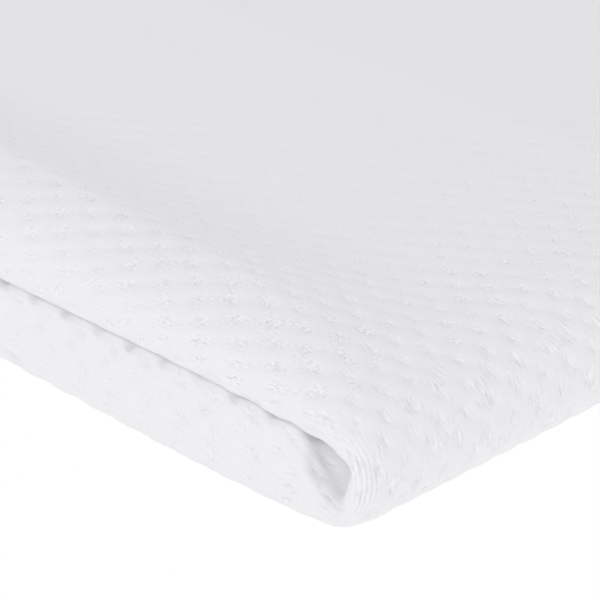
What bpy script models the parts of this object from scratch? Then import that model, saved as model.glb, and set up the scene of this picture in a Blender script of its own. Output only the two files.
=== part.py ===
"""Cooling towel: one knitted panel, folded lengthwise, then once across, and laid flat.

The long fold lies along Y on the low X side. The cross fold lies along X on the low Y side, where the
bottom half turns over into the top half. The four side edges are on the high X side, and the two hemmed
ends on the high Y side. The origin is at the middle of the underside.
"""

from collections import namedtuple

import bmesh
import bpy
import numpy as np

MM = 0.001  # every size below is in millimetres, and the model is in metres

# The panel. Its length is measured from the cross fold, and its width from the long fold.
BOTTOM_RUN = 402.0
TOP_RUN = 398.0
OUTER_PLY_WIDTH = 151.0
INNER_PLY_WIDTH = 149.0
CLOTH_THICKNESS = 1.2
SIDE_HEM_WIDTH = 6.0
SIDE_HEM_THICKNESS = 1.9
END_HEM_WIDTH = 12.0
END_HEM_THICKNESS = 2.2
HEM_STEP = 1.5  # the width over which a hem thins out to the single cloth
EDGE_BULGE = 0.35  # how far a hem's turned edge stands out, as a share of its thickness

# How the cloth lies, a row for each place along it, from the end underneath round the cross fold to the
# end on top. Heights are those of the knit's right side: on the outer ply at the crest of the long fold,
# behind it in the field and at the side edge, and on the inner ply at the same three places. nose is the
# X of the long fold, a reach is how far in from there the fold's rounding goes, and inner_fall is the
# distance past it in which the inner ply settles from the lip to the field.
Place = namedtuple(
    "Place",
    "name outer_y crest outer_field outer_edge inner_y lip inner_field inner_edge"
    " nose outer_reach inner_reach inner_fall",
)
PLACES = [
    Place("lower end", 412.0, 0.0, 0.0, 0.0, 412.0, 5.4, 5.3, 5.3, 2.2, 5.0, 5.0, 16.0),
    Place("lower far", 150.0, 0.0, 0.0, 0.0, 150.0, 10.76, 5.9, 4.9, 0.3, 5.6, 2.8, 14.0),
    Place("lower near", 50.0, 0.0, 0.0, 0.0, 50.0, 12.82, 6.1, 4.9, 0.1, 5.3, 2.6, 11.0),
    Place("lower rise", 29.0, 0.0, 0.0, 0.0, 29.0, 13.03, 7.0, 4.9, 0.0, 4.8, 2.6, 7.0),
    Place("before turn", 18.0, 0.0, 0.0, 0.0, 18.0, 12.6, 8.4, 4.9, 0.3, 4.6, 2.6, 4.2),
    Place("turn bottom", 4.8, 0.2, 0.2, 0.2, 9.2, 10.25, 10.0, 4.7, 1.3, 4.6, 2.4, 2.5),
    Place("turn low", 0.6, 3.5, 3.1, 2.3, 4.4, 4.9, 8.7, 4.3, 2.6, 4.2, 2.2, 3.0),
    Place("turn front", 0.0, 8.6, 7.0, 5.0, 3.4, 8.3, 9.3, 5.0, 3.2, 3.8, 1.8, 3.0),
    Place("turn high", 2.1, 13.6, 11.8, 8.8, 5.0, 10.6, 10.0, 5.6, 2.8, 4.4, 1.6, 2.5),
    Place("turn top", 8.2, 18.0, 15.2, 10.8, 9.6, 11.84, 10.45, 5.4, 1.5, 6.9, 1.8, 3.0),
    Place("after turn", 17.0, 21.2, 16.1, 11.4, 18.0, 12.88, 9.6, 5.4, 0.4, 9.6, 2.1, 6.5),
    Place("upper near", 45.0, 23.7, 16.7, 11.6, 45.0, 13.07, 7.9, 5.4, -0.3, 10.4, 2.7, 15.0),
    Place("upper far", 150.0, 22.6, 15.8, 11.4, 150.0, 10.9, 7.6, 5.4, -0.3, 10.2, 2.9, 18.0),
    Place("upper end", 412.0, 12.0, 11.6, 11.4, 412.0, 5.9, 5.8, 5.8, 0.2, 5.6, 4.6, 18.0),
]
FRONT = [place.name for place in PLACES].index("turn front")
LINE_SAMPLES = 1600  # points worked out along one line of the cloth before it is divided evenly
SAMPLE_CROWDING = 2.2  # above 1, the samples crowd into the cross fold

# How the plies come down behind the long fold, and settle towards the side edges
OUTER_FALL = 27.0  # past the crest, the outer ply comes down in this distance
OUTER_FALL_BEND = 0.7  # below 1, most of that fall lies near the crest
SETTLE_FROM = 50.0  # the X from which the plies sink together
SETTLE_TO = 150.0
EDGE_STAGGER = 1.5  # the inner ply's turn lies this much further in at the side edge, for its thicker hems
LYING_SHARE = 0.985  # how much of its own width cloth covers when it lies loosely

# An old packing crease, a soft ridge along the top, which starts behind the cross fold
CREASE_X = 75.0
CREASE_HEIGHT = 0.7
CREASE_HALF_WIDTH = 5.5
CREASE_WANDER = 0.8
CREASE_WANDER_RUN = 23.0
CREASE_FROM = 12.0
CREASE_RISE = 25.0

# The cloth's slow waves: the run is the distance along X or Y in which a wave's phase grows by one radian.
Wave = namedtuple("Wave", "height x_run y_run phase")
WAVES = [
    Wave(0.175, 19.0, -31.0, 2.07),
    Wave(-0.175, 19.0, 31.0, 2.87),
    Wave(0.45, 41.0, -57.0, 1.0),
]
WAVES_FROM_X = 20.0
WAVES_FROM_Y = 8.0
WAVES_RISE = 40.0
SLACK_FROM = 120.0  # from here to its ends the cloth lies slacker and slacker, and its waves grow
SLACK_TO = 400.0
SLACK_GAIN = 1.0
FULL_WAVE_HEIGHT = 17.0  # cloth that lies lower waves less, down to none on the flat underside

# The mesh: the first step from each fold, and how much wider each step is than the one before
ACROSS_STEP = 0.9
ACROSS_GROWTH = 1.2
ALONG_STEP = 1.6
ALONG_GROWTH = 1.13
CREASE_ACROSS = 78.0  # the crease's distance from the long fold, measured on the cloth
CREASE_MARKS = (-1.6, -0.8, 0.0, 0.8, 1.6)  # lines of the mesh on the crease, in half widths from its ridge
CLEAR_OF_MARK = 0.45  # the share of its step by which a line of the mesh keeps away from a marked one
ROUND_SAMPLES = 41  # angles at which the long fold's rounding is measured

KNIT_WHITE = (0.88, 0.88, 0.895, 1.0)
KNIT_ROUGHNESS = 0.92
SHARP_ANGLE = np.radians(50)


def ease(x):
    """A smooth rise from 0 to 1 while x does the same."""
    x = np.clip(x, 0.0, 1.0)
    return x * x * (3.0 - 2.0 * x)


def smooth_rows(knots, rows, at):
    """The table's columns read at any place along the cloth, on smooth curves through its rows."""
    span = np.diff(knots)[:, None]
    rise = np.diff(rows, axis=0) / span
    inner = (rise[:-1] * span[1:] + rise[1:] * span[:-1]) / (span[1:] + span[:-1])
    slope = np.vstack([rise[:1], inner, rise[-1:]])
    i = np.clip(np.searchsorted(knots, at, side="right") - 1, 0, len(knots) - 2)
    h = span[i]
    t = (at - knots[i])[:, None] / h
    near = (1 + 2 * t) * (1 - t) ** 2 * rows[i] + t * (1 - t) ** 2 * h * slope[i]
    far = t * t * (3 - 2 * t) * rows[i + 1] + t * t * (t - 1) * h * slope[i + 1]
    return near + far


def place_distances():
    """How far along the cloth each place lies from the first, taken between the crest, field and lip."""
    y = np.array([[p.outer_y, p.outer_y, p.inner_y] for p in PLACES])
    z = np.array([[p.crest, p.outer_field, p.lip] for p in PLACES])
    steps = np.hypot(np.diff(y, axis=0), np.diff(z, axis=0)).mean(axis=1)
    return np.concatenate([[0.0], np.cumsum(steps)])


def unevenness(x, y):
    """Height of the packing crease and of the slow waves, in full, at a place seen from above."""
    ridge_x = CREASE_X + CREASE_WANDER * np.sin(y / CREASE_WANDER_RUN)
    crease = CREASE_HEIGHT * np.exp(-(((x - ridge_x) / CREASE_HALF_WIDTH) ** 2))
    slow = sum(wave.height * np.sin(x / wave.x_run + y / wave.y_run + wave.phase) for wave in WAVES)
    slow = slow * (1.0 + SLACK_GAIN * ease((y - SLACK_FROM) / (SLACK_TO - SLACK_FROM)))
    behind_folds = ease((x - WAVES_FROM_X) / WAVES_RISE) * ease((y - WAVES_FROM_Y) / WAVES_RISE)
    return crease * ease((y - CREASE_FROM) / CREASE_RISE) + slow * behind_folds


def round_fold(distance, reach, half):
    """How far round an elliptic quarter, as an angle, a distance along it comes, and the quarter's length."""
    angle = np.linspace(0.0, np.pi / 2, ROUND_SAMPLES)
    middle = (angle[1:] + angle[:-1]) / 2
    step = np.hypot(np.outer(reach, np.sin(middle)), np.outer(half, np.cos(middle))) * angle[1]
    run = np.cumsum(step, axis=1)
    passed = np.minimum((run < distance).sum(axis=1), len(middle) - 1)
    every = np.arange(len(reach))
    share = 1.0 - (run[every, passed] - distance) / step[every, passed]
    return angle[passed] + np.clip(share, 0.0, 1.0) * angle[1], run[:, -1]


def lengthwise_line(across, along):
    """Points of the knit's right side, and the way it faces, down one line of the panel.

    across is the line's distance from the long fold, below zero on the outer ply. along holds distances
    from the middle of the cross fold, measured on the cloth, below zero on the bottom half.
    """
    knots = place_distances()
    rows = np.array([place[1:] for place in PLACES])
    front = knots[FRONT]
    sweep = np.linspace(-1.0, 1.0, LINE_SAMPLES)
    at = front + np.sign(sweep) * np.abs(sweep) ** SAMPLE_CROWDING * max(front, knots[-1] - front)
    at = np.unique(np.clip(at, 0.0, knots[-1]))
    lie = Place(None, *smooth_rows(knots, rows, at).T)
    middle_y = (lie.outer_y + lie.inner_y) / 2
    middle_z = (lie.crest + lie.lip) / 2
    outer = across <= 0
    if outer:
        y, top, field, edge, reach = lie.outer_y, lie.crest, lie.outer_field, lie.outer_edge, lie.outer_reach
    else:
        y, top, field, edge, reach = lie.inner_y, lie.lip, lie.inner_field, lie.inner_edge, lie.inner_reach

    # Across the panel: an elliptic quarter round at the long fold, then the flat ply behind it
    turn, quarter = round_fold(abs(across), reach, np.hypot(y - middle_y, top - middle_z))
    past = np.maximum(abs(across) - quarter, 0.0)
    x = lie.nose + reach * (1.0 - np.cos(turn)) + past * LYING_SHARE
    sunk = ease((past / OUTER_FALL) ** OUTER_FALL_BEND if outer else past / lie.inner_fall)
    settled = ease((x - SETTLE_FROM) / (SETTLE_TO - SETTLE_FROM))
    z = np.maximum(top + (field + (edge - field) * settled - top) * sunk, 0.0)
    if not outer:
        y = y + EDGE_STAGGER * settled

    # Along the panel: the way the ply faces, square to its own run
    run_y, run_z = np.gradient(y), np.gradient(z)
    side = (1.0 if outer else -1.0) / np.hypot(run_y, run_z)
    facing = (-np.cos(turn), -run_z * side * np.sin(turn), run_y * side * np.sin(turn))
    y = middle_y + (y - middle_y) * np.sin(turn)
    z = middle_z + (z - middle_z) * np.sin(turn)
    z = z + unevenness(x, y) * np.maximum(z, 0.0) / FULL_WAVE_HEIGHT

    # The same distances along the cloth on every line
    points = np.stack([x, y, z], axis=1)
    run = np.concatenate([[0.0], np.cumsum(np.linalg.norm(np.diff(points, axis=0), axis=1))])
    run -= np.interp(front, at, run)
    columns = [np.interp(along, run, column) for column in (x, y, z, *facing)]
    return np.stack(columns[:3], axis=1), np.stack(columns[3:], axis=1)


def thickness(across, along):
    """The panel's thickness: the single cloth, or the turned hem near an edge."""
    from_side = np.where(across < 0, OUTER_PLY_WIDTH + across, INNER_PLY_WIDTH - across)
    from_end = np.where(along < 0, BOTTOM_RUN + along, TOP_RUN - along)
    side_hem = (SIDE_HEM_THICKNESS - CLOTH_THICKNESS) * ease(1.0 - (from_side - SIDE_HEM_WIDTH) / HEM_STEP)
    end_hem = (END_HEM_THICKNESS - CLOTH_THICKNESS) * ease(1.0 - (from_end - END_HEM_WIDTH) / HEM_STEP)
    return CLOTH_THICKNESS + np.maximum(side_hem, end_hem)


def grid_lines(edge, hem, step, growth, marks=()):
    """Distances from a fold out to an edge, each step wider, with lines at the hem's step and the marks."""
    marks = [*marks, edge - hem - HEM_STEP, edge - hem, edge]
    lines = [0.0]
    line = step
    while line < edge:
        if min(abs(line - mark) for mark in marks) > CLEAR_OF_MARK * step:
            lines.append(line)
        step *= growth
        line += step
    return sorted(lines + marks)


def both_ways(below, above):
    """One rising list from the distances on the two sides of a fold."""
    return np.array([-d for d in reversed(below[1:])] + above)


def folded_panel():
    """The panel's right side and wrong side, as two grids of points."""
    crease = [CREASE_ACROSS + mark * CREASE_HALF_WIDTH for mark in CREASE_MARKS]
    across = both_ways(
        grid_lines(OUTER_PLY_WIDTH, SIDE_HEM_WIDTH, ACROSS_STEP, ACROSS_GROWTH, crease),
        grid_lines(INNER_PLY_WIDTH, SIDE_HEM_WIDTH, ACROSS_STEP, ACROSS_GROWTH),
    )
    along = both_ways(
        grid_lines(BOTTOM_RUN, END_HEM_WIDTH, ALONG_STEP, ALONG_GROWTH),
        grid_lines(TOP_RUN, END_HEM_WIDTH, ALONG_STEP, ALONG_GROWTH),
    )
    lines = [lengthwise_line(distance, along) for distance in across]
    right_side = np.array([points for points, _ in lines])
    facing = np.array([way for _, way in lines])
    depth = thickness(across[:, None], along[None, :])
    return right_side, right_side - facing * depth[:, :, None]


def turned_edge(right_side, wrong_side):
    """Where the border of the panel lies in its grids, in order round it, and the ridge of the turned edge."""
    rows, columns = right_side.shape[:2]
    border = [(i, 0) for i in range(rows)] + [(rows - 1, j) for j in range(1, columns)]
    border += [(i, columns - 1) for i in range(rows - 2, -1, -1)] + [(0, j) for j in range(columns - 2, 0, -1)]
    ridge = []
    for i, j in border:
        point = right_side[i, j]
        out = np.zeros(3)
        if i in (0, rows - 1):
            out += unit(point - right_side[1 if i == 0 else i - 1, j])
        if j in (0, columns - 1):
            out += unit(point - right_side[i, 1 if j == 0 else j - 1])
        bulge = EDGE_BULGE * np.linalg.norm(point - wrong_side[i, j])
        ridge.append((point + wrong_side[i, j]) / 2 + unit(out) * bulge)
    return border, np.array(ridge)


def unit(vector):
    return vector / np.linalg.norm(vector)


def add_quads(bm, near, far):
    for quad in zip(near, near[1:], far[1:], far):
        bm.faces.new(quad)


def cloth_mesh(right_side, wrong_side):
    """A closed mesh of the panel, with its origin at the middle of its underside."""
    border, ridge = turned_edge(right_side, wrong_side)
    every_point = np.concatenate([right_side.reshape(-1, 3), wrong_side.reshape(-1, 3), ridge])
    low, high = every_point.min(axis=0), every_point.max(axis=0)
    origin = np.array([(low[0] + high[0]) / 2, (low[1] + high[1]) / 2, low[2]])

    bm = bmesh.new()
    sides = []
    for grid in (right_side, wrong_side):
        verts = [[bm.verts.new((point - origin) * MM) for point in row] for row in grid]
        for near, far in zip(verts, verts[1:]):
            add_quads(bm, near, far)
        sides.append([verts[i][j] for i, j in border])
    edge = [bm.verts.new((point - origin) * MM) for point in ridge]
    for side in sides:
        add_quads(bm, side + side[:1], edge + edge[:1])
    bmesh.ops.recalc_face_normals(bm, faces=bm.faces)

    mesh = bpy.data.meshes.new("towel")
    bm.to_mesh(mesh)
    bm.free()
    mesh.shade_smooth()
    mesh.set_sharp_from_angle(angle=SHARP_ANGLE)
    return mesh


def knit_material():
    material = bpy.data.materials.new("white knit")
    material.use_nodes = True
    shader = material.node_tree.nodes["Principled BSDF"]
    shader.inputs["Base Color"].default_value = KNIT_WHITE
    shader.inputs["Roughness"].default_value = KNIT_ROUGHNESS
    shader.inputs["Metallic"].default_value = 0.0
    return material


for leftover in list(bpy.data.objects):
    bpy.data.objects.remove(leftover)

towel = bpy.data.objects.new("towel", cloth_mesh(*folded_panel()))
towel.data.materials.append(knit_material())
bpy.context.scene.collection.objects.link(towel)
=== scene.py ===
from collections import namedtuple

import bpy
import numpy as np
from mathutils import Matrix, Vector


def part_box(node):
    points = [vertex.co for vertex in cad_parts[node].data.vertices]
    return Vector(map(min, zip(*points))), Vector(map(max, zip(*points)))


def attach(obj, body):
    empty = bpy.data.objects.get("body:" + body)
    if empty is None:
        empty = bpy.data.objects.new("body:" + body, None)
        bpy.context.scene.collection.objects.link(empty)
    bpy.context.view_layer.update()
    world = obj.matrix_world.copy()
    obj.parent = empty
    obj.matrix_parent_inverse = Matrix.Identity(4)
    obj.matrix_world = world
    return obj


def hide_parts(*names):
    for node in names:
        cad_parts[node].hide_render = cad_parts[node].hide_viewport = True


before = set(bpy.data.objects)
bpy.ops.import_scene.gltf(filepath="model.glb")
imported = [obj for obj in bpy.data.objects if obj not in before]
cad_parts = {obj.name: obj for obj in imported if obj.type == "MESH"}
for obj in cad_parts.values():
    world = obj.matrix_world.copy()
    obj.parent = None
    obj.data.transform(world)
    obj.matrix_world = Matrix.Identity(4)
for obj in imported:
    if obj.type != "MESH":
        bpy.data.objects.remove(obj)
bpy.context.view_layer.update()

# The towel: one panel of soft white knit, with its edges turned over and stitched down as narrow hems.
# It is folded lengthwise, then once across, and laid flat by hand, so that four plies lie on each other.
# Its sizes are in millimetres until the mesh is made.
MM = 0.001

# How the cloth lies, a row for each place along it, from the end underneath round the cross fold to the end
# on top: heights of the right side on the outer ply and the inner ply, and the long fold's X and rounding
Place = namedtuple(
    "Place",
    "name outer_y crest outer_field outer_edge inner_y lip inner_field inner_edge"
    " nose outer_reach inner_reach inner_fall",
)
PLACES = [
    Place("lower end", 412.0, 0.0, 0.0, 0.0, 412.0, 5.4, 5.3, 5.3, 2.2, 5.0, 5.0, 16.0),
    Place("lower far", 150.0, 0.0, 0.0, 0.0, 150.0, 10.76, 5.9, 4.9, 0.3, 5.6, 2.8, 14.0),
    Place("lower near", 50.0, 0.0, 0.0, 0.0, 50.0, 12.82, 6.1, 4.9, 0.1, 5.3, 2.6, 11.0),
    Place("lower rise", 29.0, 0.0, 0.0, 0.0, 29.0, 13.03, 7.0, 4.9, 0.0, 4.8, 2.6, 7.0),
    Place("before turn", 18.0, 0.0, 0.0, 0.0, 18.0, 12.6, 8.4, 4.9, 0.3, 4.6, 2.6, 4.2),
    Place("turn bottom", 4.8, 0.2, 0.2, 0.2, 9.2, 10.25, 10.8, 4.7, 1.3, 4.6, 2.4, 2.5),
    Place("turn low", 0.6, 3.5, 3.1, 2.3, 4.4, 4.9, 8.7, 4.3, 2.6, 4.2, 2.2, 3.0),
    Place("turn front", 0.0, 8.6, 7.0, 5.0, 3.4, 8.3, 9.3, 5.0, 3.2, 3.8, 1.8, 3.0),
    Place("turn high", 2.1, 13.6, 11.8, 8.8, 5.0, 10.6, 10.0, 5.6, 2.8, 4.4, 1.6, 2.5),
    Place("turn top", 8.2, 18.0, 15.2, 10.8, 9.6, 11.84, 11.2, 5.4, 1.5, 6.9, 1.8, 3.0),
    Place("after turn", 17.0, 21.2, 16.1, 11.4, 18.0, 12.88, 9.6, 5.4, 0.4, 9.6, 2.1, 6.5),
    Place("upper near", 45.0, 23.7, 16.7, 11.6, 45.0, 13.07, 7.9, 5.4, -0.3, 10.4, 2.7, 15.0),
    Place("upper far", 150.0, 22.6, 15.8, 11.4, 150.0, 10.9, 7.6, 5.4, -0.3, 10.2, 2.9, 18.0),
    Place("upper end", 412.0, 12.0, 11.6, 11.4, 412.0, 5.9, 5.8, 5.8, 0.2, 5.6, 4.6, 18.0),
]


def ease(x):
    """A smooth rise from 0 to 1 while x does the same."""
    x = np.clip(x, 0.0, 1.0)
    return x * x * (3.0 - 2.0 * x)


def smooth_rows(knots, rows, at):
    """The table's columns read at any place along the cloth, on smooth curves through its rows."""
    span = np.diff(knots)[:, None]
    rise = np.diff(rows, axis=0) / span
    inner = (rise[:-1] * span[1:] + rise[1:] * span[:-1]) / (span[1:] + span[:-1])
    slope = np.vstack([rise[:1], inner, rise[-1:]])
    i = np.clip(np.searchsorted(knots, at, side="right") - 1, 0, len(knots) - 2)
    h = span[i]
    t = (at - knots[i])[:, None] / h
    near = (1 + 2 * t) * (1 - t) ** 2 * rows[i] + t * (1 - t) ** 2 * h * slope[i]
    far = t * t * (3 - 2 * t) * rows[i + 1] + t * t * (t - 1) * h * slope[i + 1]
    return near + far


def place_distances():
    """How far along the cloth each place lies from the first, taken between the crest, field and lip."""
    y = np.array([[place.outer_y, place.outer_y, place.inner_y] for place in PLACES])
    z = np.array([[place.crest, place.outer_field, place.lip] for place in PLACES])
    steps = np.hypot(np.diff(y, axis=0), np.diff(z, axis=0)).mean(axis=1)
    return np.concatenate([[0.0], np.cumsum(steps)])


# The packing crease, and the slow waves of cloth that lies loosely, which grow towards the open ends
CREASE_X = 75.0
CREASE_HEIGHT = 0.7
CREASE_HALF_WIDTH = 5.5
CREASE_WANDER = 0.8
CREASE_WANDER_RUN = 23.0
CREASE_FROM = 12.0
CREASE_RISE = 25.0
Wave = namedtuple("Wave", "height x_run y_run phase")
WAVES = [
    Wave(0.175, 19.0, -31.0, 2.07),
    Wave(-0.175, 19.0, 31.0, 2.87),
    Wave(0.45, 41.0, -57.0, 1.0),
]
WAVES_FROM_X = 20.0
WAVES_FROM_Y = 8.0
WAVES_RISE = 40.0
SLACK_FROM = 120.0
SLACK_TO = 400.0
SLACK_GAIN = 1.0


def unevenness(x, y):
    """Height of the packing crease and of the slow waves, in full, at a place seen from above."""
    ridge_x = CREASE_X + CREASE_WANDER * np.sin(y / CREASE_WANDER_RUN)
    crease = CREASE_HEIGHT * np.exp(-(((x - ridge_x) / CREASE_HALF_WIDTH) ** 2))
    slow = sum(wave.height * np.sin(x / wave.x_run + y / wave.y_run + wave.phase) for wave in WAVES)
    slow = slow * (1.0 + SLACK_GAIN * ease((y - SLACK_FROM) / (SLACK_TO - SLACK_FROM)))
    behind_folds = ease((x - WAVES_FROM_X) / WAVES_RISE) * ease((y - WAVES_FROM_Y) / WAVES_RISE)
    return crease * ease((y - CREASE_FROM) / CREASE_RISE) + slow * behind_folds


# The long fold's rounding
ROUND_SAMPLES = 41


def round_fold(distance, reach, half):
    """How far round an elliptic quarter, as an angle, a distance along it comes, and the quarter's length."""
    angle = np.linspace(0.0, np.pi / 2, ROUND_SAMPLES)
    middle = (angle[1:] + angle[:-1]) / 2
    step = np.hypot(np.outer(reach, np.sin(middle)), np.outer(half, np.cos(middle))) * angle[1]
    run = np.cumsum(step, axis=1)
    passed = np.minimum((run < distance).sum(axis=1), len(middle) - 1)
    every = np.arange(len(reach))
    share = 1.0 - (run[every, passed] - distance) / step[every, passed]
    return angle[passed] + np.clip(share, 0.0, 1.0) * angle[1], run[:, -1]


# The two halves lie against each other along the long fold, behind the hollow at the corner
PLIES_APART = 0.03
PRESSED_TOGETHER_FROM = 7.4
PRESSED_TOGETHER_RUN = 3.6


def pressed_together(lower, y, z):
    """Heights of the inner plies, where the lower one comes up against the upper one behind the hollow."""
    met = np.interp(y, y[~lower], z[~lower]) - PLIES_APART
    pressed = lower * ease((y - PRESSED_TOGETHER_FROM) / PRESSED_TOGETHER_RUN)
    return z + (met - z) * pressed


# One line of the cloth: how a ply sinks from the long fold to its flat part, and settles towards its edge
FRONT = [place.name for place in PLACES].index("turn front")
LINE_SAMPLES = 1600
SAMPLE_CROWDING = 2.2  # samples lie closer together round the cross fold
OUTER_FALL = 27.0  # over this much cloth behind the long fold the outer ply sinks to its flat part
OUTER_FALL_BEND = 0.7  # under 1 it sinks sooner
SETTLE_FROM = 50.0  # between these X a ply's flat part settles to its height at the side edge
SETTLE_TO = 150.0
EDGE_STAGGER = 1.5  # the inner plies' edges lie this far along from the outer ones
LYING_SHARE = 0.985  # loose cloth covers a little less than its own length
FULL_WAVE_HEIGHT = 17.0  # the cloth's waves and crease have their full height this far off the ground


def lengthwise_line(across, along):
    """Points of the knit's right side, and the way it faces, down one line of the panel.

    across is the line's distance from the long fold, below zero on the outer ply. along holds distances
    from the middle of the cross fold, measured on the cloth, below zero on the bottom half.
    """
    knots = place_distances()
    rows = np.array([place[1:] for place in PLACES])
    front = knots[FRONT]
    sweep = np.linspace(-1.0, 1.0, LINE_SAMPLES)
    at = front + np.sign(sweep) * np.abs(sweep) ** SAMPLE_CROWDING * max(front, knots[-1] - front)
    at = np.unique(np.clip(at, 0.0, knots[-1]))
    lie = Place(None, *smooth_rows(knots, rows, at).T)
    lower = at < front
    lip = pressed_together(lower, lie.inner_y, lie.lip)
    lie = lie._replace(lip=lip, inner_field=pressed_together(lower, lie.inner_y, lie.inner_field))
    middle_y = (lie.outer_y + lie.inner_y) / 2
    middle_z = (lie.crest + lie.lip) / 2
    outer = across <= 0
    if outer:
        y, top, field, edge, reach = lie.outer_y, lie.crest, lie.outer_field, lie.outer_edge, lie.outer_reach
    else:
        y, top, field, edge, reach = lie.inner_y, lie.lip, lie.inner_field, lie.inner_edge, lie.inner_reach

    # Across the panel: an elliptic quarter round at the long fold, then the flat ply behind it
    turn, quarter = round_fold(abs(across), reach, np.hypot(y - middle_y, top - middle_z))
    past = np.maximum(abs(across) - quarter, 0.0)
    x = lie.nose + reach * (1.0 - np.cos(turn)) + past * LYING_SHARE
    sunk = ease((past / OUTER_FALL) ** OUTER_FALL_BEND if outer else past / lie.inner_fall)
    settled = ease((x - SETTLE_FROM) / (SETTLE_TO - SETTLE_FROM))
    z = np.maximum(top + (field + (edge - field) * settled - top) * sunk, 0.0)
    if not outer:
        y = y + EDGE_STAGGER * settled

    # Along the panel: the way the ply faces, square to its own run
    run_y, run_z = np.gradient(y), np.gradient(z)
    side = (1.0 if outer else -1.0) / np.hypot(run_y, run_z)
    facing = (-np.cos(turn), -run_z * side * np.sin(turn), run_y * side * np.sin(turn))
    y = middle_y + (y - middle_y) * np.sin(turn)
    z = middle_z + (z - middle_z) * np.sin(turn)
    z = z + unevenness(x, y) * np.maximum(z, 0.0) / FULL_WAVE_HEIGHT

    # The same distances along the cloth on every line
    points = np.stack([x, y, z], axis=1)
    run = np.concatenate([[0.0], np.cumsum(np.linalg.norm(np.diff(points, axis=0), axis=1))])
    run -= np.interp(front, at, run)
    columns = [np.interp(along, run, column) for column in (x, y, z, *facing)]
    return np.stack(columns[:3], axis=1), np.stack(columns[3:], axis=1)


# The panel: each way a little longer on one side of its fold, as nobody folds a towel exactly in the middle
BOTTOM_RUN = 402.0
TOP_RUN = 398.0
OUTER_PLY_WIDTH = 151.0
INNER_PLY_WIDTH = 149.0
CLOTH_THICKNESS = 1.2
SIDE_HEM_WIDTH = 6.0
SIDE_HEM_THICKNESS = 1.9
END_HEM_WIDTH = 12.0
END_HEM_THICKNESS = 2.2
HEM_STEP = 1.5  # over this much cloth a hem's extra thickness runs out
STITCH_IN = 1.2  # the stitching runs this far inside a hem's inner edge
TROUGH_HALF_WIDTH = 1.1
TROUGH_DEPTH = 0.3


def from_edges(across, along):
    """How far a place on the cloth is from the side edge and from the end edge on its side of the folds."""
    from_side = np.where(across < 0, OUTER_PLY_WIDTH + across, INNER_PLY_WIDTH - across)
    from_end = np.where(along < 0, BOTTOM_RUN + along, TOP_RUN - along)
    return from_side, from_end


def thickness(across, along):
    """The panel's thickness: the single cloth, or the turned hem near an edge."""
    from_side, from_end = from_edges(across, along)
    side_hem = (SIDE_HEM_THICKNESS - CLOTH_THICKNESS) * ease(1.0 - (from_side - SIDE_HEM_WIDTH) / HEM_STEP)
    end_hem = (END_HEM_THICKNESS - CLOTH_THICKNESS) * ease(1.0 - (from_end - END_HEM_WIDTH) / HEM_STEP)
    return CLOTH_THICKNESS + np.maximum(side_hem, end_hem)


def hem_stitch_trough(across, along):
    """How deep the two rows of hem stitching pull the right side in."""
    from_side, from_end = from_edges(across, along)
    side_row = np.exp(-(((from_side - SIDE_HEM_WIDTH + STITCH_IN) / TROUGH_HALF_WIDTH) ** 2))
    end_row = np.exp(-(((from_end - END_HEM_WIDTH + STITCH_IN) / TROUGH_HALF_WIDTH) ** 2))
    return TROUGH_DEPTH * np.maximum(side_row, end_row)


# The dimples lie in staggered rows: a repeat of the knit has one at its corners and one in its middle
REPEAT_ACROSS = 4.5
REPEAT_ALONG = 5.8
FIRST_DIMPLE_ACROSS = 1.25  # one dimple lies here, counted from the middles of the two folds
FIRST_DIMPLE_ALONG = 0.62
DIMPLE_DEPTH = 0.42
DIMPLE_SOFTNESS = 2.4
PRESSED_FROM = 12.0  # behind the folds the flat top has been pressed, and its dimples are shallower
PRESSED_TO = 60.0
PRESSED_OUT = 0.72
LOWER_RUN = 20.0  # in this distance the lower half's dimples grow deeper, and its open stitches fewer
LOWER_DEEPER = 0.5
UPPER_BETWEEN_FROM = 4.2  # past this far across, between the halves, they are pressed out behind the hollow
LOWER_BETWEEN_FROM = 7.4
BETWEEN_RUN = 1.5
HOLLOW_ALONG = 9.0
HOLLOW_RUN = 6.0
GAP_ROW_FROM = 5.2  # on the lower half the last row of dimples before the plies meet lies a little nearer
GAP_ROW_RUN = 1.5
GAP_ROW_NEARER = 1.3
GAP_ROW_DEEPER = 0.15

# Some dimples are drawn in further than others: two waves that wander, one each way over the cloth
DIMPLE_UNEVEN = 0.45
Wander = namedtuple("Wander", "rate shift shift_rate")  # radians, and radians to the millimetre
ACROSS_WANDER = Wander(0.83, 2.1, 0.19)
ALONG_WANDER = Wander(0.61, 1.7, 0.23)


def wandering(wave, run, other_run):
    """A sine one way over the cloth, which a slower sine the other way shifts to and fro."""
    return np.sin(run * wave.rate + wave.shift * np.sin(other_run * wave.shift_rate))


def dimple(across, along):
    """1 in the middle of each dimple, down to 0 on the puffed cloth between them."""
    column = np.cos(2 * np.pi * (across - FIRST_DIMPLE_ACROSS) / REPEAT_ACROSS)
    row = np.cos(2 * np.pi * (along - FIRST_DIMPLE_ALONG) / REPEAT_ALONG)
    return (0.5 + 0.5 * column * row) ** DIMPLE_SOFTNESS


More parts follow.
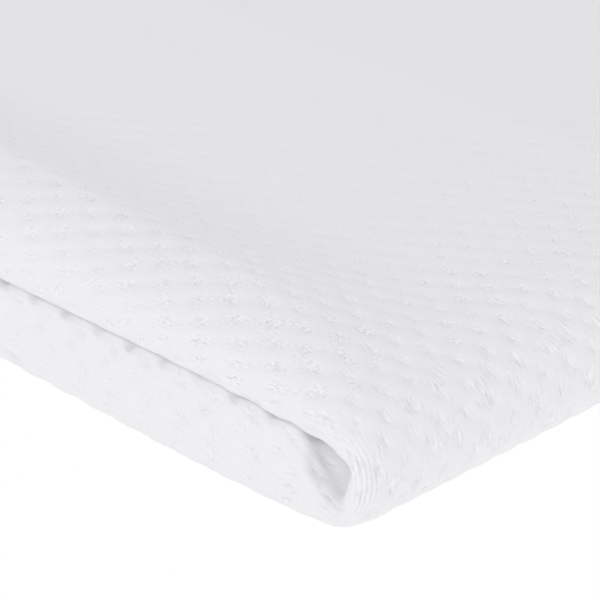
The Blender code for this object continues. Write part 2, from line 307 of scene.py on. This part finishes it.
def relief(across, along):
    """How far the right side lies in from the cloth's smooth outside."""
    uneven = wandering(ACROSS_WANDER, across, along) * wandering(ALONG_WANDER, along, across)
    behind_folds = ease((np.minimum(-across, along) - PRESSED_FROM) / (PRESSED_TO - PRESSED_FROM))
    between_from = np.where(along > 0, UPPER_BETWEEN_FROM, LOWER_BETWEEN_FROM)
    between = ease((across - between_from) / BETWEEN_RUN) * ease((abs(along) - HOLLOW_ALONG) / HOLLOW_RUN)
    on_lower = ease(-along / LOWER_RUN)
    in_gap_row = on_lower * ease((across - GAP_ROW_FROM) / GAP_ROW_RUN)
    depth = DIMPLE_DEPTH * (1.0 - PRESSED_OUT * behind_folds) * (1.0 - between)
    depth = depth * (1.0 + LOWER_DEEPER * on_lower) * (1.0 + GAP_ROW_DEEPER * in_gap_row)
    depth = depth * (1.0 + DIMPLE_UNEVEN * uneven)
    narrowed = dimple(across + GAP_ROW_NEARER * in_gap_row, along) ** (1.0 + in_gap_row)
    return depth * narrowed + hem_stitch_trough(across, along)


# The mesh is laid on fine lines through the knit, a dozen to each repeat, with none hard beside an edge
FINE = 12
CLEAR_OF_EDGE = 0.4  # of a fine line's step


def fine_lines(first, last, repeat, dimple_at):
    """The fine lines' distances between two edges, and each line's number counted from a dimple."""
    step = repeat / FINE
    lowest = np.ceil((first - dimple_at) / step + CLEAR_OF_EDGE)
    highest = np.floor((last - dimple_at) / step - CLEAR_OF_EDGE)
    number = np.arange(lowest, highest + 1).astype(int)
    distance = np.concatenate([[first], number * step + dimple_at, [last]])
    return distance, np.concatenate([[number[0] - 1], number, [number[-1] + 1]])


ACROSS, ACROSS_NUMBER = fine_lines(-OUTER_PLY_WIDTH, INNER_PLY_WIDTH, REPEAT_ACROSS, FIRST_DIMPLE_ACROSS)
ALONG, ALONG_NUMBER = fine_lines(-BOTTOM_RUN, TOP_RUN, REPEAT_ALONG, FIRST_DIMPLE_ALONG)

# How many fine lines a face of the right side spans, across and along, in each zone of the cloth: a zone is
# bounded by how far out from the long fold a place is on the outer ply, how far along from the cross fold,
# the two together, and how much more the one is than the other. The first zone that holds a place counts.
NO_LIMIT = 1000.0
Zone = namedtuple("Zone", "name steps out_from out_to along_from along_to both out_more along_more")
ZONES = [
    Zone("near corner", (1, 1), -12.0, NO_LIMIT, -12.0, NO_LIMIT, 58.0, 46.0, 58.0),
    Zone("long fold", (1, 1), -8.0, 11.0, -64.0, 64.0, NO_LIMIT, NO_LIMIT, NO_LIMIT),
    Zone("top in view", (2, 2), -14.0, NO_LIMIT, -14.0, 118.0, 146.0, 50.0, 64.0),
    Zone("side in view", (2, 2), -14.0, 14.0, -118.0, 118.0, 146.0, 50.0, 64.0),
    Zone("whole top", (3, 3), 0.0, NO_LIMIT, -16.0, NO_LIMIT, NO_LIMIT, NO_LIMIT, NO_LIMIT),
    Zone("whole long fold", (3, 3), -12.0, 12.0, -NO_LIMIT, NO_LIMIT, NO_LIMIT, NO_LIMIT, NO_LIMIT),
    Zone("whole cross fold", (FINE, 3), -NO_LIMIT, NO_LIMIT, -26.0, 26.0, NO_LIMIT, NO_LIMIT, NO_LIMIT),
]

# The wrong side is finer only at the folds and the hems, and both sides are alike beside the edges
EDGE_STRIP = 6.0
EDGE_STEPS = (6, 6)
FINER_EDGE_STEPS = (3, 3)
FINER_EDGE_FROM = -10.0
WRONG_SIDE_STEP = 3
WRONG_SIDE_FOLD = 12.0
WRONG_SIDE_HEM = 11.0
WRONG_SIDE_END_HEM = 18.0
WRONG_SIDE_TURN_FROM = -16.0
WRONG_SIDE_TURN_TO = 26.0


def edge_steps(across, along):
    """Fine lines to a face beside an edge: fewer on the outer ply on top, which shows."""
    return FINER_EDGE_STEPS if across < 0 and along > FINER_EDGE_FROM else EDGE_STEPS


def right_side_steps(across, along):
    """Fine lines to a face of the right side, across and along, in the block round a place."""
    if min(from_edges(across, along)) < EDGE_STRIP:
        return edge_steps(across, along)
    out = -across
    for zone in ZONES:
        within = zone.out_from < out < zone.out_to and zone.along_from < along < zone.along_to
        within = within and out + along < zone.both
        if within and out - along < zone.out_more and along - out < zone.along_more:
            return zone.steps
    return FINE, FINE


def wrong_side_steps(across, along):
    """Fine lines to a face of the wrong side, across and along, in the block round a place."""
    from_side, from_end = from_edges(across, along)
    if min(from_side, from_end) < EDGE_STRIP:
        return edge_steps(across, along)
    finer_across = abs(across) < WRONG_SIDE_FOLD or from_side < WRONG_SIDE_HEM
    finer_along = WRONG_SIDE_TURN_FROM < along < WRONG_SIDE_TURN_TO or from_end < WRONG_SIDE_END_HEM
    return WRONG_SIDE_STEP if finer_across else FINE, WRONG_SIDE_STEP if finer_along else FINE


# Each side is covered in blocks of one repeat or more, and each block in faces of its zone's size. A patch is
# either of them, by the numbers of the rows, which are lines along the cloth, and columns that bound it.
Patch = namedtuple("Patch", "low_row high_row low_column high_column")


def block_starts(number):
    """Indexes of the lines that a repeat starts on, with the first and last line."""
    inner = [i for i in range(1, len(number) - 1) if number[i] % FINE == 0]
    return [0] + inner + [len(number) - 1]


def lines_in_block(start, end, number, step):
    """Indexes of a block's first and last line, and of those between them that its faces use."""
    if step == FINE:
        return [start, end]
    return [start] + [i for i in range(start + 1, end) if number[i] % step == 0] + [end]


def patches(rows, columns):
    """The patches between neighbouring rows and neighbouring columns."""
    return [
        Patch(low_row, high_row, low_column, high_column)
        for low_row, high_row in zip(rows, rows[1:])
        for low_column, high_column in zip(columns, columns[1:])
    ]


def middle(patch):
    """Where the middle of a patch lies, across and along."""
    across = (ACROSS[patch.low_row] + ACROSS[patch.high_row]) / 2
    return across, (ALONG[patch.low_column] + ALONG[patch.high_column]) / 2


def blocks(steps):
    """Blocks of one repeat, or of two each way where the cloth is plain over all four."""
    row_starts = block_starts(ACROSS_NUMBER)
    column_starts = block_starts(ALONG_NUMBER)
    found = []
    for i in range(0, len(row_starts) - 1, 2):
        for j in range(0, len(column_starts) - 1, 2):
            rows = row_starts[i : i + 3]
            columns = column_starts[j : j + 3]
            small = patches(rows, columns)
            plain = all(steps(*middle(patch)) == (FINE, FINE) for patch in small)
            found += [Patch(rows[0], rows[-1], columns[0], columns[-1])] if plain else small
    return found


def cells(steps):
    """The faces of one side of the cloth, and which of the fine lines' crossings they use."""
    used = np.zeros((len(ACROSS), len(ALONG)), bool)
    made = []
    for block in blocks(steps):
        across_step, along_step = steps(*middle(block))
        rows = lines_in_block(block.low_row, block.high_row, ACROSS_NUMBER, across_step)
        columns = lines_in_block(block.low_column, block.high_column, ALONG_NUMBER, along_step)
        used[np.ix_(rows, columns)] = True
        made += patches(rows, columns)
    return made, used


def way_round(patch, index):
    """The crossings in use round a patch, in order: its corners, and any that smaller neighbours add."""
    low_row, high_row, low_column, high_column = patch
    way = [(row, low_column) for row in range(low_row, high_row)]
    way += [(high_row, column) for column in range(low_column, high_column)]
    way += [(row, high_column) for row in range(high_row, low_row, -1)]
    way += [(low_row, column) for column in range(high_column, low_column, -1)]
    return [crossing for crossing in way if index[crossing] >= 0]


def side_of_cloth(steps, inward):
    """One side's points, how they would lie with nothing drawn in, their flat places, faces and numbers."""
    made, used = cells(steps)
    index = np.full(used.shape, -1)
    index[used] = np.arange(used.sum())
    points, smooth, flat = [], [], []
    for i in np.nonzero(used.any(axis=1))[0]:
        along = ALONG[used[i]]
        across = np.full(len(along), ACROSS[i])
        line, facing = lengthwise_line(ACROSS[i], along)
        smooth.append(line)
        points.append(line - facing * inward(across, along)[:, None])
        flat.append(np.stack([across, along], axis=1))
    faces = [[index[crossing] for crossing in way_round(cell, index)] for cell in made]
    return np.concatenate(points), np.concatenate(smooth), np.concatenate(flat), faces, index


right_points, smooth_points, right_flat, right_faces, right_index = side_of_cloth(right_side_steps, relief)
wrong_points, _, wrong_flat, wrong_faces, wrong_index = side_of_cloth(wrong_side_steps, thickness)

# Turned edges: the cloth goes over in a half round from the right side to the wrong side
EDGE_BULGE = 0.4  # of the edge's depth
EDGE_TURN = np.radians([30.0, 90.0, 150.0])
edge_way = way_round(Patch(0, len(ACROSS) - 1, 0, len(ALONG) - 1), right_index)
right_edge = [right_index[crossing] for crossing in edge_way]
wrong_edge = [wrong_index[crossing] for crossing in edge_way]
top_rim = right_points[right_edge]
under_rim = wrong_points[wrong_edge]


def unit(vector):
    """The same way with a length of 1."""
    return vector / np.linalg.norm(vector)


def outward_at(crossing):
    """The way out of the cloth at a crossing on its border."""
    i, j = crossing
    out = np.zeros(3)
    here = right_points[right_index[crossing]]
    if i in (0, right_index.shape[0] - 1):
        column = np.nonzero(right_index[:, j] >= 0)[0]
        out += unit(here - right_points[right_index[column[1] if i == 0 else column[-2], j]])
    if j in (0, right_index.shape[1] - 1):
        row = np.nonzero(right_index[i] >= 0)[0]
        out += unit(here - right_points[right_index[i, row[1] if j == 0 else row[-2]]])
    return unit(out)


outward = np.array([outward_at(crossing) for crossing in edge_way])
edge_depth = np.linalg.norm(top_rim - under_rim, axis=1)[:, None]
middle_rim = (top_rim + under_rim) / 2
half_depth = (top_rim - under_rim) / 2
rims = [
    middle_rim + half_depth * np.cos(angle) + outward * edge_depth * EDGE_BULGE * np.sin(angle)
    for angle in EDGE_TURN
]

# The towel's mesh: the right side, the wrong side turned about, and the turned edge between them
points = np.concatenate([right_points, wrong_points, *rims])
flat_places = np.concatenate([right_flat, wrong_flat, *[right_flat[right_edge]] * len(rims)])
wrong_from = len(right_points)
rim_from = wrong_from + len(wrong_points)
rim_starts = [rim_from + n * len(edge_way) for n in range(len(rims))]
loops = [right_edge]
loops += [list(range(start, start + len(edge_way))) for start in rim_starts]
loops += [[wrong_from + i for i in wrong_edge]]
faces = right_faces + [[wrong_from + i for i in reversed(face)] for face in wrong_faces]
for near, far in zip(loops, loops[1:]):
    for a, b, c, d in zip(near, near[1:] + near[:1], far[1:] + far[:1], far):
        faces.append([d, c, b, a])

# The fold's own zero point is moved so that the towel lies where the CAD's towel does
low = np.concatenate([smooth_points, points[rim_from:]]).min(axis=0)
cad_low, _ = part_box("towel")
origin = low - np.array(cad_low) / MM

mesh = bpy.data.meshes.new("towel_cloth")
mesh.from_pydata(((points - origin) * MM).tolist(), [], faces)
mesh.validate()
cloth_map = mesh.uv_layers.new(name="cloth")
corner_vertex = np.empty(len(mesh.loops), int)
mesh.loops.foreach_get("vertex_index", corner_vertex)
cloth_map.uv.foreach_set("vector", (flat_places[corner_vertex] * MM).astype(np.float32).ravel())
mesh.shade_smooth()


def put_in_scene(name, data):
    """A new object of this name, in the scene."""
    made = bpy.data.objects.new(name, data)
    bpy.context.scene.collection.objects.link(made)
    return made


towel = put_in_scene("towel_cloth", mesh)


def set_sockets(node, values):
    """Plain numbers and colours on a node's own sockets."""
    for name, value in values.items():
        node.inputs[name].default_value = value


class Shade:
    """One value of a material, held as a socket: its operators add Math nodes."""

    def __init__(self, socket):
        self.socket = socket

    @staticmethod
    def node(tree, kind, settings, sockets):
        """Any node: its type, its settings, then the values or links of its sockets by name or number."""
        node = tree.nodes.new(kind)
        for name, setting in settings.items():
            setattr(node, name, setting)
        for name, value in sockets.items():
            if isinstance(value, Shade):
                tree.links.new(value.socket, node.inputs[name])
            else:
                node.inputs[name].default_value = value
        return node

    def math(self, operation, *others, clamp=False):
        settings = {"operation": operation, "use_clamp": clamp}
        node = Shade.node(self.socket.id_data, "ShaderNodeMath", settings, dict(enumerate((self, *others))))
        return Shade(node.outputs[0])

    def clamped(self):
        """This value, kept between 0 and 1."""
        return self.math("MULTIPLY", 1.0, clamp=True)

    def wave(self):
        """The cosine of this value, raised to run between 0 and 1."""
        return self.math("COSINE") * 0.5 + 0.5

    def __add__(self, other):
        return self.math("ADD", other)

    def __mul__(self, other):
        return self.math("MULTIPLY", other)

    def __sub__(self, other):
        return self.math("SUBTRACT", other)

    def __rsub__(self, other):
        return self * -1.0 + other

    def __truediv__(self, other):
        return self.math("DIVIDE", other)

    def __pow__(self, other):
        return self.math("POWER", other)

    __radd__ = __add__
    __rmul__ = __mul__


# The knit's finish: matt white and a little fuzzy, with fine ribs and small open stitches in the dimples
KNIT_SURFACE = {"Metallic": 0.0, "Specular IOR Level": 0.2, "Sheen Weight": 0.1, "Sheen Roughness": 0.5}
knit = bpy.data.materials.new("white_knit_dimpled")
knit.use_nodes = True
tree = knit.node_tree
shader = tree.nodes["Principled BSDF"]
set_sockets(shader, KNIT_SURFACE)
cloth_place = Shade(Shade.node(tree, "ShaderNodeUVMap", {"uv_map": "cloth"}, {}).outputs[0])
apart = Shade.node(tree, "ShaderNodeSeparateXYZ", {}, {0: cloth_place})
across_mm = Shade(apart.outputs[0]) / MM
along_mm = Shade(apart.outputs[1]) / MM


def noise(spots, detail, place=cloth_place):
    """Noise over the flat cloth, round about 0.5, with so many spots to the metre."""
    settings = {"noise_dimensions": "2D"}
    sockets = {"Vector": place, "Scale": spots, "Detail": detail}
    return Shade(Shade.node(tree, "ShaderNodeTexNoise", settings, sockets).outputs[0])


# The knit's rows: its dimples, drifting a little out of line, and its wales and courses of loops
DRIFT_SPOTS = 260.0
DRIFT = 0.5
WALES_IN_REPEAT = 7
COURSES_IN_REPEAT = 12
COURSE_BEND = 2.6
drift = (noise(DRIFT_SPOTS, detail=2.0) - 0.5) * DRIFT
column = (across_mm - FIRST_DIMPLE_ACROSS) * (2 * np.pi / REPEAT_ACROSS) + drift
row = (along_mm - FIRST_DIMPLE_ALONG) * (2 * np.pi / REPEAT_ALONG) + drift
wale = (column * WALES_IN_REPEAT).wave()
beside_wale = (column * (WALES_IN_REPEAT / 2)).math("SINE").math("ABSOLUTE")
course = (row * COURSES_IN_REPEAT + beside_wale * COURSE_BEND).wave()

# Where stitches stand open: not where the flat top has been pressed, and fewer far away and on the lower half
CLOSED_BY_PRESSING = 0.95
OPEN_FAR = 100.0  # this far along from the cross fold they are down to their least
FEWER_FAR = 0.7
FEWER_ON_LOWER = 0.45
OPEN_UNEVEN_SPOTS = 310.0
OPEN_UNEVEN = 2.2
behind_folds = ((across_mm * -1.0).math("MINIMUM", along_mm) - PRESSED_FROM) / (PRESSED_TO - PRESSED_FROM)
far_along = (along_mm.math("ABSOLUTE") / OPEN_FAR).clamped()
open_here = (1.0 - behind_folds.clamped() * CLOSED_BY_PRESSING) * (1.0 - far_along * FEWER_FAR)
open_here = open_here * ((noise(OPEN_UNEVEN_SPOTS, detail=1.0) - 0.5) * OPEN_UNEVEN + 1.0)
open_here = open_here * (1.0 - (along_mm / -LOWER_RUN).clamped() * FEWER_ON_LOWER)

# They keep to the dimples, but on the front of the cross fold and on the long fold's crest they also stand
# in clumps beside them, and on the front they are drawn out into short strokes along the towel
KEEP_TO_DIMPLES = 2.6
MARK_SPOTS = 2300.0
MARK_MIDDLE = 0.47
MARK_CONTRAST = 3.2
FRONT_REACH = 13.5
FRONT_FADE = 6.0
FRONT_IN_DIMPLES = 0.5
CREST_ACROSS = -9.0
CREST_REACH = 9.0
CREST_FADE = 4.0
CLUMP_SPOTS = 420.0
CLUMP_FROM = 0.52
CLUMP_SHARPNESS = 7.0
CLUMP_SHARE = 0.33
STROKE_STRETCH = 0.3
STROKE_SPOTS = 2600.0
STROKE_CONTRAST = 3.8
BETWEEN_WALES = 0.5
on_front = ((FRONT_REACH - along_mm.math("ABSOLUTE")) / FRONT_FADE).clamped()
on_crest = (CREST_REACH - (across_mm - CREST_ACROSS).math("ABSOLUTE")) / CREST_FADE
scattered = on_crest.clamped().math("MAXIMUM", on_front)
clump = (noise(CLUMP_SPOTS, detail=0.0) - CLUMP_FROM) * CLUMP_SHARPNESS
clump = clump.math("MULTIPLY", scattered, clamp=True)
in_dimple = (column.math("COSINE") * row.math("COSINE") * 0.5 + 0.5) ** KEEP_TO_DIMPLES
in_dimple = in_dimple * (1.0 - on_front * (1.0 - FRONT_IN_DIMPLES)) + clump * CLUMP_SHARE
stretch = {0: cloth_place, 1: (1.0, STROKE_STRETCH, 1.0)}
drawn_out = Shade(Shade.node(tree, "ShaderNodeVectorMath", {"operation": "MULTIPLY"}, stretch).outputs[0])
stroke = (noise(STROKE_SPOTS, detail=1.0, place=drawn_out) - 0.5) * STROKE_CONTRAST
mark = (noise(MARK_SPOTS, detail=1.0) - MARK_MIDDLE) * MARK_CONTRAST
mark = mark + (stroke - mark) * on_front
# Below zero this paints shade into the open stitches and between the wales, above zero a painted highlight on
# the loops; the same value also dents the bump relief
stitch_relief_and_painted_light = in_dimple * open_here * (mark - (1.0 - wale) * course * BETWEEN_WALES)

# The ribs are faint, apart from a patch at the corner, where the cloth bends sharply and pulls them apart
RIBS_AT_ACROSS = -1.8
RIBS_HALF_WIDTH = 2.1
RIBS_HALF_LENGTH = 7.0
RIBS_SPOTS = 700.0
RIBS_OPEN = 2.2
RIBS_ELSEWHERE = 0.04
from_patch = ((across_mm - RIBS_AT_ACROSS) / RIBS_HALF_WIDTH) ** 2.0
from_patch = from_patch + (along_mm / RIBS_HALF_LENGTH) ** 2.0
ribs_open = (1.0 - from_patch).math("MULTIPLY", noise(RIBS_SPOTS, detail=1.0) * RIBS_OPEN, clamp=True)
# In the colour, the ribs are painted shade between the wales and painted light on them, strongest in the
# patch at the corner
ribs = (wale - 0.5) * (ribs_open + RIBS_ELSEWHERE)

# The hems are sewn with one row of stitches each
STITCH_LENGTH = 2.4
STITCH_HALF_WIDTH = 0.35
DASH_SHARPNESS = 1.6


def stitch_row(from_middle, row_at, run):
    """1 on the stitches of a hem, a row of dashes, down to 0 beside and between them."""
    beside = ((from_middle.math("ABSOLUTE") - row_at) / STITCH_HALF_WIDTH) ** 2.0
    dash = (run * (2 * np.pi / STITCH_LENGTH)).math("SINE") * DASH_SHARPNESS + 1.0
    return (1.0 - beside).math("MINIMUM", dash).clamped()


side_row_at = (OUTER_PLY_WIDTH + INNER_PLY_WIDTH) / 2 - SIDE_HEM_WIDTH + STITCH_IN
end_row_at = (BOTTOM_RUN + TOP_RUN) / 2 - END_HEM_WIDTH + STITCH_IN
side_stitches = stitch_row(across_mm + (OUTER_PLY_WIDTH - INNER_PLY_WIDTH) / 2, side_row_at, along_mm)
end_stitches = stitch_row(along_mm + (BOTTOM_RUN - TOP_RUN) / 2, end_row_at, across_mm)
hem_stitches = side_stitches.math("MAXIMUM", end_stitches)

# How far each of them stands proud, in millimetres
WALE_PROUD = 0.006
RIB_PROUD = 0.03
COURSE_PROUD = 0.004
MARK_PROUD = 0.04
FUZZ_PROUD = 0.02
STITCH_PROUD = 0.16
FUZZ_SPOTS = 5200.0
fuzz = noise(FUZZ_SPOTS, detail=3.0)
height = wale * WALE_PROUD + ribs * RIB_PROUD + course * wale * COURSE_PROUD + stitch_relief_and_painted_light * MARK_PROUD
height = height + (fuzz - 0.5) * FUZZ_PROUD + hem_stitches * STITCH_PROUD
relief_sockets = {"Height": height, "Distance": MM, "Strength": 1.0}
bump = Shade(Shade.node(tree, "ShaderNodeBump", {}, relief_sockets).outputs[0])

# Its white, with painted light in it: painted shade where a stitch stands open and between the wales, a
# painted highlight on a loop beside it, painted shade and light along the ribs, a little brighter on the hem
# stitching, and otherwise even
KNIT_WHITE = 0.88
STITCH_PAINTED_SHADE_WHITE = 0.66
LOOP_PAINTED_HIGHLIGHT_WHITE = 0.95
KNIT_SHARE = (KNIT_WHITE - STITCH_PAINTED_SHADE_WHITE) / (LOOP_PAINTED_HIGHLIGHT_WHITE - STITCH_PAINTED_SHADE_WHITE)
KNIT_TINT = (1.008, 1.0, 1.021)
STITCH_PAINTED_LIGHT = 0.5
RIB_PAINTED_SHADE_AND_LIGHT = 0.3
HEM_STITCH_SHADE = 0.12


def knit_colour(white):
    """A white of this strength with the knit's faint cool tint."""
    return (*[white * share for share in KNIT_TINT], 1.0)


painted_shade_and_highlight = stitch_relief_and_painted_light * STITCH_PAINTED_LIGHT + ribs * RIB_PAINTED_SHADE_AND_LIGHT + hem_stitches * HEM_STITCH_SHADE
white_with_painted_light = painted_shade_and_highlight.math("ADD", KNIT_SHARE, clamp=True)
blend = {"Factor": white_with_painted_light, 6: knit_colour(STITCH_PAINTED_SHADE_WHITE), 7: knit_colour(LOOP_PAINTED_HIGHLIGHT_WHITE)}
tint = Shade(Shade.node(tree, "ShaderNodeMix", {"data_type": "RGBA"}, blend).outputs[2])

KNIT_ROUGHNESS = 0.9
FUZZ_ROUGHNESS = 0.06
roughness = fuzz * FUZZ_ROUGHNESS + (KNIT_ROUGHNESS - FUZZ_ROUGHNESS / 2)
tree.links.new(bump.socket, shader.inputs["Normal"])
tree.links.new(tint.socket, shader.inputs["Base Color"])
tree.links.new(roughness.socket, shader.inputs["Roughness"])
mesh.materials.append(knit)

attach(towel, "root")
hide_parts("towel")

# The floor of the studio: one wide white sheet, under the towel and three metres past it each way.
# It glows evenly and takes no shadow, so the ground is plain white, as it is in such pictures.
FLOOR_HALF = 3.0  # in metres
FLOOR_CORNERS = [(-1, -1), (1, -1), (1, 1), (-1, 1)]
FLOOR_SURFACE = {
    "Base Color": (0.0, 0.0, 0.0, 1.0),
    "Roughness": 1.0,
    "Specular IOR Level": 0.0,
    "Emission Color": (1.0, 1.0, 1.0, 1.0),
    "Emission Strength": 1.0,
}
floor_mesh = bpy.data.meshes.new("floor")
floor_mesh.from_pydata([(x * FLOOR_HALF, y * FLOOR_HALF, 0) for x, y in FLOOR_CORNERS], [], [(0, 1, 2, 3)])
floor = put_in_scene("floor", floor_mesh)
floor_white = bpy.data.materials.new("floor_white")
floor_white.use_nodes = True
set_sockets(floor_white.node_tree.nodes["Principled BSDF"], FLOOR_SURFACE)
floor_mesh.materials.append(floor_white)

# The surroundings and lights of the studio: soft white on all sides, and two wide round soft lights
# in front of the towel, the stronger one on the left, both turned towards it.
SURROUNDINGS = {"Color": (1.0, 1.0, 1.01, 1.0), "Strength": 0.745}
world = bpy.data.worlds.new("studio")
world.use_nodes = True
set_sockets(world.node_tree.nodes["Background"], SURROUNDINGS)
bpy.context.scene.world = world
bpy.context.scene.view_settings.view_transform = "Standard"

# A light's brightness is the share of white that it gives, alone, to a white face turned towards it
SoftLight = namedtuple("SoftLight", "name azimuth elevation brightness")
SOFT_LIGHTS = [
    SoftLight("left_light", 186.0, 45.0, 0.152),
    SoftLight("right_light", 264.0, 18.0, 0.057),
]
LIGHT_DISTANCE = 1.8  # this and the size are in metres
LIGHT_SIZE = 1.0
for light in SOFT_LIGHTS:
    lamp = bpy.data.lights.new(light.name, "AREA")
    lamp.shape = "DISK"
    lamp.size = LIGHT_SIZE
    lamp.energy = light.brightness * np.pi**2 * LIGHT_DISTANCE**2
    azimuth, elevation = np.radians([light.azimuth, light.elevation])
    level = np.cos(elevation)
    way = Vector((np.cos(azimuth) * level, np.sin(azimuth) * level, np.sin(elevation)))
    holder = put_in_scene(light.name, lamp)
    holder.location = way * LIGHT_DISTANCE
    holder.rotation_euler = way.to_track_quat("Z", "Y").to_euler()

# The camera: level across, with a long lens, looking down at the towel's near corner from close by.
# The fold's own zero point, on the ground under that corner, lies at a known pixel and a known depth.
CORNER_PIXEL = (343.0, 562.0)
PICTURE = 600.0
FOCAL_PIXELS = 3300.0
SENSOR = 36.0  # in millimetres across
CAMERA_DEPTH = 367.0  # in millimetres along the view, from the camera to that point
CAMERA_ELEVATION = np.radians(27.1)
CAMERA_AZIMUTH = np.radians(45.4)
CLIP_START = 0.01  # in metres
CLIP_END = 20.0
ahead = np.array([np.cos(CAMERA_AZIMUTH), np.sin(CAMERA_AZIMUTH), 0.0])
right = np.array([np.sin(CAMERA_AZIMUTH), -np.cos(CAMERA_AZIMUTH), 0.0])
forward = np.cos(CAMERA_ELEVATION) * ahead + np.array([0.0, 0.0, -np.sin(CAMERA_ELEVATION)])
up = np.cross(right, forward)
aside = (CORNER_PIXEL[0] - PICTURE / 2) / FOCAL_PIXELS * CAMERA_DEPTH
above = (PICTURE / 2 - CORNER_PIXEL[1]) / FOCAL_PIXELS * CAMERA_DEPTH
stand = -(aside * right + above * up + CAMERA_DEPTH * forward)
camera_data = bpy.data.cameras.new("camera")
camera_data.lens = FOCAL_PIXELS / PICTURE * SENSOR
camera_data.sensor_width = SENSOR
camera_data.clip_start = CLIP_START
camera_data.clip_end = CLIP_END
camera = put_in_scene("camera", camera_data)
turned = Matrix((right, up, -forward)).transposed().to_4x4()
camera.matrix_world = Matrix.Translation(Vector((stand - origin) * MM)) @ turned
bpy.context.scene.camera = camera
